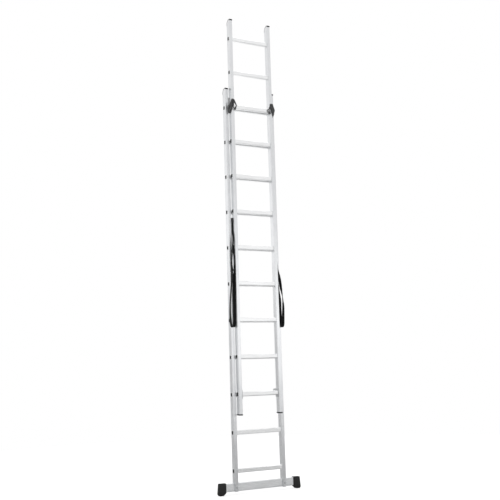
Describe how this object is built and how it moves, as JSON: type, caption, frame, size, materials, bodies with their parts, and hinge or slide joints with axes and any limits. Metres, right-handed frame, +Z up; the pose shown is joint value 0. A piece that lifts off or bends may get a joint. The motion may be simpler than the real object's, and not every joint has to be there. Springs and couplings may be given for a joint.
{
  "type": "extension ladder",
  "caption": "Two-section aluminium extension ladder: a narrow fly hooked on a wider base, with guide brackets, latches, spreader straps and a floor stabiliser bar.",
  "frame": {"origin": "on the floor under the middle of the ladder: centre of the bounding box in X and Y, soles of the stabiliser feet at Z = 0", "axes": "+Z up along the stiles, +X across the ladder to the right as seen by a person facing it, -Y the side that is climbed, +Y the side that leans on a wall"},
  "size_m": [0.6954, 0.104, 3.694],
  "materials": {
    "stile_aluminium": "satin extruded",
    "rung_aluminium": "satin extruded, ribbed tread",
    "black_plastic": "fine moulded texture",
    "black_webbing": "woven polyester",
    "zinc_steel": "zinc plated",
    "blackened_steel": "black coated steel"
  },
  "bodies": {
    "base_section": {"base_rung_01": "rung_aluminium", "base_rung_02": "rung_aluminium", "base_rung_03": "rung_aluminium", "base_rung_04": "rung_aluminium", "base_rung_05": "rung_aluminium", "base_rung_06": "rung_aluminium", "base_rung_07": "rung_aluminium", "base_rung_08": "rung_aluminium", "base_rung_09": "rung_aluminium", "base_rung_10": "rung_aluminium", "base_rung_11": "rung_aluminium", "base_stile_left": "stile_aluminium", "base_stile_right": "stile_aluminium", "base_top_cap_left": "black_plastic", "base_top_cap_right": "black_plastic", "stabiliser_bar": "stile_aluminium", "bar_foot_left": "black_plastic", "bar_foot_right": "black_plastic", "bar_bolt_left": "zinc_steel", "bar_bolt_right": "zinc_steel", "bar_nut_left": "zinc_steel", "bar_nut_right": "zinc_steel", "guide_bracket_left": "black_plastic", "guide_bracket_right": "black_plastic", "guide_rivet_lower_left": "zinc_steel", "guide_rivet_lower_right": "zinc_steel", "guide_rivet_upper_left": "zinc_steel", "guide_rivet_upper_right": "zinc_steel", "latch_pin_left": "blackened_steel", "latch_pin_right": "blackened_steel", "spreader_strap_left": "black_webbing", "spreader_strap_right": "black_webbing", "strap_anchor_left": "blackened_steel", "strap_anchor_right": "blackened_steel", "strap_clip_left": "black_plastic", "strap_clip_right": "black_plastic"},
    "fly_section": {"fly_rung_01": "rung_aluminium", "fly_rung_02": "rung_aluminium", "fly_rung_03": "rung_aluminium", "fly_rung_04": "rung_aluminium", "fly_rung_05": "rung_aluminium", "fly_rung_06": "rung_aluminium", "fly_rung_07": "rung_aluminium", "fly_rung_08": "rung_aluminium", "fly_rung_09": "rung_aluminium", "fly_rung_10": "rung_aluminium", "fly_rung_11": "rung_aluminium", "fly_stile_left": "stile_aluminium", "fly_stile_right": "stile_aluminium", "fly_top_cap_left": "black_plastic", "fly_top_cap_right": "black_plastic", "fly_sole_cap_left": "black_plastic", "fly_sole_cap_right": "black_plastic", "rung_hook_left": "zinc_steel", "rung_hook_right": "zinc_steel", "strap_plate_left": "zinc_steel", "strap_plate_right": "zinc_steel"},
    "latch_left": {"latch_lever_left": "black_plastic"},
    "latch_right": {"latch_lever_right": "black_plastic"}
  },
  "joints": [
    {"name": "fly_slide", "type": "slide", "parent": "base_section", "child": "fly_section", "axis": [0, 0, 1], "range_m": [-0.56, 1.68]},
    {"name": "latch_left_pivot", "type": "hinge", "parent": "base_section", "child": "latch_left", "pos_m": [-0.166, -0.048, 3.012], "axis": [0, -1, 0], "range_deg": [0, 100]},
    {"name": "latch_right_pivot", "type": "hinge", "parent": "base_section", "child": "latch_right", "pos_m": [0.166, -0.048, 3.012], "axis": [0, 1, 0], "range_deg": [0, 100]}
  ]
}
